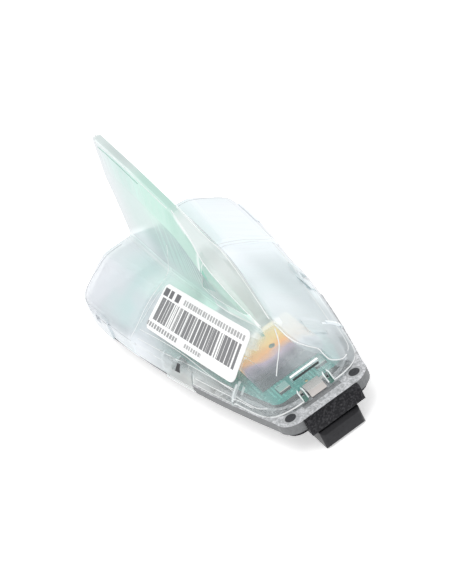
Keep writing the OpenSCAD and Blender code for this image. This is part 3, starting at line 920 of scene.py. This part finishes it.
@dataclass(frozen=True)
class CastFinish:
    """Cast light metal: speckled on its flange, with painted shade on its sides, and darker in its
    recesses.
    """

    slot: Slot = Slot.CAST
    flange: tuple[RGB, RGB] = ((0.34, 0.35, 0.36), (0.66, 0.67, 0.69))
    shaded_side: tuple[RGB, RGB] = ((0.1, 0.105, 0.11), (0.2, 0.205, 0.21))
    raised: RGB = (0.05, 0.052, 0.055)
    far_hook: RGB = (0.6, 0.62, 0.63)
    sill: RGB = (0.5, 0.47, 0.45)
    groove: RGB = (0.14, 0.145, 0.15)
    flange_z: Pair = (5.55, 5.65)
    groove_x: Pair = (56.6, 58.6)
    groove_half: float = 7
    groove_share: float = 0.7
    hook_y: float = 16
    sill_x: float = 44
    sill_half: float = 5
    roughness: float = 0.5
    metallic: float = 0.25

    def build(self) -> bpy.types.Material:
        """Makes the material."""
        graph = Graph(self.slot.value)
        x, y, z = graph.place()
        _, _, nz = graph.facing()
        grain = graph.noise(1500, 3)
        fleck = graph.noise(700, 2)
        low, high = self.flange_z
        front, back = self.groove_x
        groove = (x > front) * (x < back) * (abs(y) < self.groove_half) * self.groove_share
        sill = (z > high) * (x > self.sill_x) * (abs(y) < self.sill_half) * (nz > 0.5)
        light = graph.mix((grain * 0.6 + fleck * 0.4).span(0.35, 0.65), *self.flange)
        raised = graph.mix(y > self.hook_y, self.raised, self.far_hook)
        # Painted shade: everything below the flange's top takes the darker side colours
        dark = graph.mix(z > high, graph.mix(grain, *self.shaded_side), raised)
        dark = graph.mix(sill, dark, self.sill)
        flange = graph.mix(groove, light, self.groove)
        graph.principled(
            Base_Color=graph.mix((z > low) * (z < high), dark, flange),
            Roughness=self.roughness,
            Metallic=self.metallic,
            Normal=graph.bump(grain, 0.5, 0.00006),
        )
        return graph.material


@dataclass(frozen=True)
class Row:
    """One row of small blocks on the label."""

    left: float
    right: float
    low: float
    high: float
    pitch: float
    seed: float
    weight: float

    def ink(self, graph: Graph, u: MathSocket, v: MathSocket) -> MathSocket:
        """Prints the row.

        Args:
            graph: Material being built.
            u: Place along the label in millimetres.
            v: Place across the label in millimetres.

        Returns:
            The row's weight on ink, 0 beside it.
        """
        cell = ((u - self.left) / self.pitch).floor()
        part = (u - self.left) / self.pitch - cell
        body = part < graph.random(cell + self.seed) * 0.3 + 0.55
        inside = (u > self.left) * (u < self.right) * (v > self.low) * (v < self.high)
        return body * inside * self.weight


@dataclass(frozen=True)
class LabelFinish:
    """Label with plain marks: one block of bars between rows of small blocks."""

    slot: Slot = Slot.LABEL
    white: RGB = (0.9, 0.9, 0.9)
    black: RGB = (0.09, 0.09, 0.1)
    axes: Axes = Axes((3.6, -15.1, 16.9), 6.5, 33.5)
    bars_u: Pair = (-27.2, 27)
    bars_v: Pair = (-4.9, 3.8)
    bars_weight: float = 0.86
    roughness: float = 0.38
    rows: tuple[Row, ...] = (
        Row(-28.2, -15, 4.5, 7.4, 4.4, 3.0, 0.95),
        Row(-13, 27.4, 5, 6.9, 1.7, 11.0, 0.62),
        Row(-29.6, -7.6, -7.7, -6, 1.9, 21.0, 0.7),
        Row(-2.2, 8.6, -7.5, -6.1, 1.5, 31.0, 0.6),
    )

    def bars(self, graph: Graph, u: MathSocket, pitch: float, seed: float, widest: float) -> MathSocket:
        """Prints bars of random width at an even pitch.

        Args:
            graph: Material being built.
            u: Place along the label in millimetres.
            pitch: Distance between bars.
            seed: Choice of pattern.
            widest: Widest bar as a share of the pitch.

        Returns:
            1 on a bar, 0 beside it.
        """
        cell = (u / pitch).floor()
        return (u / pitch - cell) < graph.random(cell + seed) * widest + 0.16

    def build(self) -> bpy.types.Material:
        """Makes the material."""
        graph = Graph(self.slot.value)
        u, v = self.axes.local(graph)
        wide = self.bars(graph, u, pitch=2.15, seed=5.0, widest=0.78)
        bars = wide.largest(self.bars(graph, u + 0.4, pitch=1.3, seed=9.0, widest=0.42))
        (left, right), (low, high) = self.bars_u, self.bars_v
        ink = bars * (u > left) * (u < right) * (v < high) * (v > low) * self.bars_weight
        for row in self.rows:
            ink = ink + row.ink(graph, u, v)
        graph.principled(
            Base_Color=graph.mix(ink.clamped(), self.white, self.black), Roughness=self.roughness
        )
        return graph.material


# One finish for each slot of the record
FINISHES = (
    *PLAIN,
    BoardFinish(Slot.BOARD, mask=(0.03, 0.3, 0.26), track=(0.12, 0.5, 0.44)),
    BoardFinish(Slot.FIN_BOARD, mask=(0.22, 0.59, 0.44), track=(0.25, 0.62, 0.47)),
    SealFinish(),
    PatchFinish(Slot.PATCH, roughness=0.34),
    PatchFinish(Slot.CERAMIC, roughness=0.4),
    CastFinish(),
    ChipFinish(),
    ClearFinish(),
    LabelFinish(),
)


@dataclass(frozen=True)
class LineFinish:
    """Edge of a moulded line on the cover."""

    name: str
    colour: RGB
    cover: float
    darkest: float = 0.94
    roughness: float = 0.2

    def build(self) -> bpy.types.Material:
        """Makes the material."""
        graph = Graph(self.name)
        dark = tuple(c * self.darkest for c in self.colour)
        graph.principled(
            Base_Color=graph.mix(graph.noise(700, 2), dark, self.colour),
            Roughness=self.roughness,
            Alpha=self.cover,
        )
        return graph.material


def new_piece(
    name: str, shape: bmesh.types.BMesh, material: bpy.types.Material
) -> bpy.types.Object:
    """Turns a mesh under construction into a piece that rides on the object.

    Args:
        name: Name of the piece.
        shape: Finished mesh; freed here.
        material: Its finish.

    Returns:
        The new object.
    """
    bmesh.ops.recalc_face_normals(shape, faces=shape.faces)
    mesh = bpy.data.meshes.new(name)
    shape.to_mesh(mesh)
    shape.free()
    mesh.materials.append(material)
    for polygon in mesh.polygons:
        polygon.use_smooth = True
    mesh.set_sharp_from_angle(angle=math.radians(SHARP_LINE))
    piece = bpy.data.objects.new(name, mesh)
    bpy.context.scene.collection.objects.link(piece)
    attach(piece, "root")
    LOG.info("made %s with %d faces", name, len(mesh.polygons))
    return piece


def smooth_path(points: Sequence[Vector], steps: int = 5) -> list[Vector]:
    """Rounds a path through its points.

    Args:
        points: Corners of the path.
        steps: Samples between two corners.

    Returns:
        The finer path.
    """
    padded = [points[0], *points, points[-1]]
    out = []
    for a, b, c, d in zip(padded, padded[1:], padded[2:], padded[3:]):
        for i in range(steps):
            t = i / steps
            out.append(
                0.5 * (2 * b + (c - a) * t + (2 * a - 5 * b + 4 * c - d) * t * t
                       + (3 * b - a - 3 * c + d) * t ** 3)
            )
    out.append(points[-1])
    return out


class Tone(Enum):
    """Finish of a moulded line: its colour and how much it covers. The white tone paints highlights
    along the cover's edges; the darkest paints shade in the gap under each skirt.
    """

    WHITE = ((0.93, 0.95, 0.95), 0.8)
    GREY = ((0.42, 0.44, 0.47), 0.7)
    GREEN = ((0.3, 0.55, 0.46), 0.75)
    DARK = ((0.05, 0.052, 0.056), 1.0)


@dataclass(frozen=True)
class Bead:
    """A thin raised line that lies on the cover."""

    name: str
    path: tuple[RGB, ...]
    radius: float = 0.17
    both: bool = False
    tone: Tone = Tone.WHITE


# Each line's points and radius are in millimetres; one that is on both sides names its left path
BEADS = (
    Bead("ridge", (
        (36, 2.2, 22), (38, 2.5, 21), (41, 2.9, 19), (43.8, 4.1, 16.9), (45.8, 6.2, 14.8),
        (47.2, 8.2, 12.9), (49.9, 8.4, 11.7), (52.1, 9, 10.3), (52.8, 12, 8.5), (51.6, 14.4, 7.9),
    ), 0.22),
    Bead("upright", (
        (37.2, 1.4, 21.8), (41.1, -0.5, 19), (43.8, -3.1, 17.2), (45.5, -5.6, 15.2), (47, -7.6, 13.5),
    ), 0.18),
    Bead("step", (
        (-29.1, 10, 22.4), (-29.2, 17.1, 19.8), (-29.3, 23.4, 16.3), (-29.2, 29.2, 12), (-30.2, 32.5, 9),
        (-31, 34, 4),
    ), 0.16, True),
    Bead("fin_step", (
        (-22, -5.3, 37), (-24.5, -5.7, 33), (-28.5, -6.4, 28), (-31, -7.4, 24.8), (-30, -10, 23),
    ), 0.18),
    Bead("label_line", (
        (-27, -28.3, 12), (-10, -25.4, 12.2), (4, -23.4, 11.9), (22, -21.6, 10.4), (35, -19.8, 9.6),
    ), 0.13),
    Bead("front_wall", ((14, -25.4, 8), (25, -23.4, 8), (36, -21.2, 8), (45, -18.8, 7.2)), 0.15),
    Bead("rear_boss", ((-61, -35.3, 11), (-57, -36, 10), (-54, -36.5, 9.4), (-49, -36.2, 8.8)), 0.16),
    Bead("step_foot", ((-27.6, 12, 22), (-27.8, 20, 18), (-28, 27, 14)), 0.12, True),
    Bead("shoulder", (
        (-26, 31.3, 10.4), (-15, 29.2, 10.4), (-2, 26.6, 10.6), (10, 23.9, 10.4), (24, 21.1, 9.8),
        (34, 19, 9.4),
    ), 0.14, True),
    Bead("wall_line", (
        (-50, 35.2, 7.4), (-36, 33.6, 7.6), (-20, 31.4, 7.6), (-9, 29.6, 7.6),
    ), 0.12, True),
    Bead("leaf", (
        (-5, 1.2, 55.6), (1, 1.7, 51), (6, 2.6, 47), (12, 4.2, 42.4), (17.5, 4.3, 37.8), (23, 3.7, 33),
        (29, 2.8, 28.2), (34.4, 1.9, 24),
    ), 0.18, True),
    Bead("fin_line", (
        (-69, -1.3, 66.5), (-60, -1.4, 65.6), (-48, -1.4, 63.8), (-36, -1.3, 61.6), (-22, -1.3, 58.4),
        (-8, -1.2, 55.4),
    ), 0.24),
    Bead("nose_rim", (
        (36, 21.6, 6.2), (42, 20.4, 6), (48, 19, 6), (52.5, 17, 6), (55.2, 13.6, 6.2), (56.6, 9, 6.6),
        (56.9, 5.8, 6.8),
    ), 0.27, True),
    Bead("nose_inner", (
        (36.5, 20.2, 8.4), (42, 19.2, 7.8), (47, 17.8, 7.6), (50.4, 15.6, 7.8),
    ), 0.14, True),
    Bead("rim", (
        (-70, 36.6, 3.6), (-52, 36.4, 3.6), (-36, 34.5, 3.6), (-20, 32.4, 3.6), (-6, 30.2, 3.6),
        (6, 28, 3.6), (12.2, 26.9, 3.6),
    ), 0.12, True),
    # Painted shade: a dark cord along the foot of each skirt stands for the shade in the gap above the
    # flange
    Bead("rim_shade_line", (
        (-74, 35.2, 2.4), (-70, 36.6, 2.4), (-62, 36.9, 2.4), (-52, 36.4, 2.4), (-36, 34.5, 2.4),
        (-20, 32.4, 2.4), (-6, 30.2, 2.4), (6, 28, 2.4), (12.2, 26.9, 2.4),
    ), 0.34, True, Tone.DARK),
    Bead("tail_edge", (
        (-72.7, 12, 22.6), (-72.7, 19.3, 22.2), (-73.2, 24.2, 19.8), (-74.6, 31, 15.4),
        (-73, 34.6, 12.8), (-69.8, 36.2, 11.2), (-62, 36.6, 9.8), (-49.6, 35.7, 9.4),
        (-39, 34.3, 8.9), (-30, 33, 8.6),
    ), 0.14, True, Tone.GREY),
    Bead("fin_back", (
        (-70, 0, 67.4), (-74, 0, 64), (-74.9, 0, 60), (-75, 0, 50), (-75.1, 0, 40), (-75.2, 0, 30),
        (-75.2, 0, 26),
    ), 0.3, tone=Tone.GREY),
    Bead("fin_shade", (
        (-66, -1.8, 64.4), (-58, -1.9, 63.4), (-48, -1.9, 61.8), (-38, -1.8, 60), (-31, -1.8, 58.6),
    ), 0.26, tone=Tone.GREEN),
    Bead("leaf_foot", (
        (11.6, -3.9, 41.4), (9.2, -5.1, 37), (5.6, -5.4, 33), (2.2, -5.6, 29.4), (2.4, -5.6, 28),
        (5.6, -5.5, 27.4), (9.2, -5.4, 27.2), (18.4, -4.8, 27.4), (24, -4, 27), (29.3, -3, 26.4),
        (34.5, -1.6, 23.4),
    ), 0.17),
    Bead("front_rim", (
        (12.8, 26.6, 5.9), (22, 24.9, 5.9), (30, 23.2, 5.9), (36, 21.8, 5.9),
    ), 0.14, True),
)


@dataclass
class CoverDetails:
    """Thin lines on the cover: moulded lines, and a dark cord of painted shade under each skirt."""

    cover: bpy.types.Object
    sides: int = 8

    def build(self) -> None:
        """Makes every bead."""
        tree = BVHTree.FromPolygons(
            [v.co.copy() for v in self.cover.data.vertices],
            [tuple(p.vertices) for p in self.cover.data.polygons],
        )
        finishes = {
            tone: LineFinish("rib_" + tone.name.lower(), *tone.value).build() for tone in Tone
        }
        for bead in BEADS:
            material = finishes[bead.tone]
            self.tube(tree, bead.name, bead.path, bead.radius, material)
            if bead.both:
                other = tuple((x, -y, z) for x, y, z in bead.path)
                self.tube(tree, bead.name + "_right", other, bead.radius, material)

    def tube(self, tree: BVHTree, name: str, path: Sequence[RGB], radius: float,
             material: bpy.types.Material) -> None:
        """Sweeps a small circle along a path on the cover.

        Args:
            tree: Surface of the cover.
            name: Name of the piece.
            path: Points near the surface, in millimetres.
            radius: Radius in millimetres.
            material: Finish of the line.
        """
        fine = smooth_path([Vector(p) * MM for p in path])
        spots = [tree.find_nearest(p)[:2] for p in fine]
        frames = []
        for i, (place, normal) in enumerate(spots):
            before, after = spots[max(0, i - 1)][0], spots[min(len(spots) - 1, i + 1)][0]
            way = (after - before).normalized()
            across = way.cross(normal).normalized()
            upright = across.cross(way)
            turn = Matrix((across, upright, way)).transposed().to_4x4()
            frames.append(Matrix.Translation(place - upright * radius * MM * 0.5) @ turn)
        shape = bmesh.new()
        bmesh.ops.create_circle(
            shape, cap_ends=True, segments=self.sides, radius=radius * MM, matrix=frames[0]
        )
        end = list(shape.faces)
        for one, two in zip(frames, frames[1:]):
            end = bmesh.ops.extrude_discrete_faces(shape, faces=end)["faces"]
            bmesh.ops.transform(shape, matrix=two @ one.inverted(), verts=end[0].verts)
        rim = [edge for edge in shape.edges if edge.is_boundary]
        bmesh.ops.holes_fill(shape, edges=rim, sides=self.sides)
        new_piece(name, shape, material)


@dataclass(frozen=True)
class SoftEdges:
    """Rounding, to the eye only, of the CAD pieces of some slots; lengths in millimetres."""

    slots: tuple[Slot, ...] = (Slot.SEAL, Slot.BLACK)
    width: float = 0.6
    segments: int = 2
    least_angle: float = 40
    weld_gap: float = 0.001
    flat_angle: float = 1

    def add(self, piece: bpy.types.Object) -> None:
        """Adds the modifiers to one piece.

        Args:
            piece: Object of the CAD frame.
        """
        weld = piece.modifiers.new("weld", "WELD")
        weld.merge_threshold = MM * self.weld_gap
        flat = piece.modifiers.new("flat", "DECIMATE")
        flat.decimate_type = "DISSOLVE"
        flat.angle_limit = math.radians(self.flat_angle)
        bevel = piece.modifiers.new("soft_edges", "BEVEL")
        bevel.width = self.width * MM
        bevel.segments = self.segments
        bevel.limit_method = "ANGLE"
        bevel.angle_limit = math.radians(self.least_angle)
        bevel.harden_normals = True
        bevel.use_clamp_overlap = True


@dataclass
class Antenna:
    """The dressed object: one finish for each slot, shared by the pieces of that slot."""

    frame: dict
    edges: SoftEdges = SoftEdges()
    materials: dict[Slot, bpy.types.Material] = field(default_factory=dict)

    def make_materials(self) -> None:
        """Builds every finish once."""
        for finish in FINISHES:
            self.materials[finish.slot] = finish.build()

    def dress(self) -> None:
        """Gives each CAD node the finish of its slot."""
        rows = {row["node"]: row["material_slot"] for row in self.frame["record"]["subparts"]}
        for name, piece in self.frame["nodes"].items():
            material = self.materials[Slot(rows[name])]
            piece.data.materials.clear()
            piece.data.materials.append(material)
            for polygon in piece.data.polygons:
                polygon.use_smooth = True
            piece.data.set_sharp_from_angle(angle=math.radians(SHARP_CAD))
            if Slot(rows[name]) in self.edges.slots:
                self.edges.add(piece)
            LOG.info("dressed %s with %s", name, material.name)


@dataclass(frozen=True)
class CameraView:
    """Camera of the photograph."""

    azimuth: float = 78.83
    elevation: float = 31.02
    roll: float = -29.01
    distance: float = 0.3764
    aim: RGB = (0.0, 0.0, 0.01615)
    lens: float = 67.29
    sensor: float = 36
    shift: Pair = (-0.0058, 0.0186)
    clip: Pair = (0.01, 20)

    def build(self) -> bpy.types.Object:
        """Makes the scene's camera.

        Returns:
            The camera object.
        """
        a, e, r = (math.radians(v) for v in (self.azimuth, self.elevation, self.roll))
        back = Vector((math.sin(a) * math.cos(e), -math.cos(a) * math.cos(e), math.sin(e)))
        right = Vector((math.cos(a), math.sin(a), 0))
        up = back.cross(right)
        across = right * math.cos(r) + up * math.sin(r)
        above = up * math.cos(r) - right * math.sin(r)
        data = bpy.data.cameras.new("camera")
        data.sensor_width = self.sensor
        data.lens = self.lens
        data.shift_x, data.shift_y = self.shift
        data.clip_start, data.clip_end = self.clip
        camera = bpy.data.objects.new("camera", data)
        turn = Matrix((across, above, back)).transposed().to_4x4()
        camera.matrix_world = Matrix.Translation(Vector(self.aim) + back * self.distance) @ turn
        bpy.context.scene.collection.objects.link(camera)
        bpy.context.scene.camera = camera
        LOG.info("camera at %s", tuple(round(v, 4) for v in camera.location))
        return camera


@dataclass(frozen=True)
class Lamp:
    """One area light."""

    name: str
    place: RGB
    aim: RGB
    size: float
    watts: float
    colour: RGB = (1, 1, 1)

    def build(self) -> bpy.types.Object:
        """Makes the light.

        Returns:
            The light object.
        """
        data = bpy.data.lights.new(self.name, "AREA")
        data.size = self.size
        data.energy = self.watts
        data.color = self.colour
        lamp = bpy.data.objects.new(self.name, data)
        lamp.location = self.place
        lamp.rotation_mode = "QUATERNION"
        lamp.rotation_quaternion = (Vector(self.aim) - Vector(self.place)).to_track_quat("-Z", "Y")
        bpy.context.scene.collection.objects.link(lamp)
        return lamp


@dataclass(frozen=True)
class Studio:
    """White floor, one soft light and white surroundings.

    The sky lights the object at the level sky, and shows as plain white to the camera, in
    reflections and through clear pieces.
    """

    floor_z: float = -0.0095
    floor_half: float = 2.5
    floor_colour: RGB = (0.95, 0.95, 0.95)
    floor_roughness: float = 0.9
    floor_glow: float = 0.45
    sky: float = 0.82
    shows_white: tuple[str, ...] = ("Is Glossy Ray", "Is Transmission Ray")
    lamps: tuple[Lamp, ...] = (
        Lamp("key", (0.4, -0.15, 1.0), (0, 0, 0), 0.5, 4.2),
    )

    def build(self) -> None:
        """Makes the floor, the lights and the world."""
        mesh = bpy.data.meshes.new("floor")
        shape = bmesh.new()
        bmesh.ops.create_grid(shape, x_segments=1, y_segments=1, size=self.floor_half)
        bmesh.ops.translate(shape, verts=shape.verts, vec=(0, 0, self.floor_z))
        shape.to_mesh(mesh)
        shape.free()
        floor = bpy.data.objects.new("floor", mesh)
        bpy.context.scene.collection.objects.link(floor)
        graph = Graph("floor")
        graph.principled(
            Base_Color=self.floor_colour,
            Roughness=self.floor_roughness,
            Emission_Color=WHITE,
            Emission_Strength=self.floor_glow,
        )
        mesh.materials.append(graph.material)
        for lamp in self.lamps:
            lamp.build()
        world = bpy.data.worlds.new("world")
        world.use_nodes = True
        tree = world.node_tree
        background = tree.nodes["Background"]
        background.inputs[0].default_value = WHITE
        rays = tree.nodes.new("ShaderNodeLightPath")
        level = tree.nodes.new("ShaderNodeMapRange")
        level.inputs["To Min"].default_value = self.sky
        seen = rays.outputs["Is Camera Ray"]
        for kind in self.shows_white:
            either = tree.nodes.new("ShaderNodeMath")
            tree.links.new(seen, either.inputs[0])
            tree.links.new(rays.outputs[kind], either.inputs[1])
            seen = either.outputs[0]
        tree.links.new(seen, level.inputs["Value"])
        tree.links.new(level.outputs[0], background.inputs[1])
        bpy.context.scene.world = world


def main() -> None:
    """Builds the whole scene."""
    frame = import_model()
    antenna = Antenna(frame)
    antenna.make_materials()
    antenna.dress()
    CoverDetails(frame["nodes"]["clear_cover"]).build()
    CameraView().build()
    Studio().build()
    bpy.context.scene.view_settings.view_transform = "Standard"


if __name__ == "__main__":
    main()
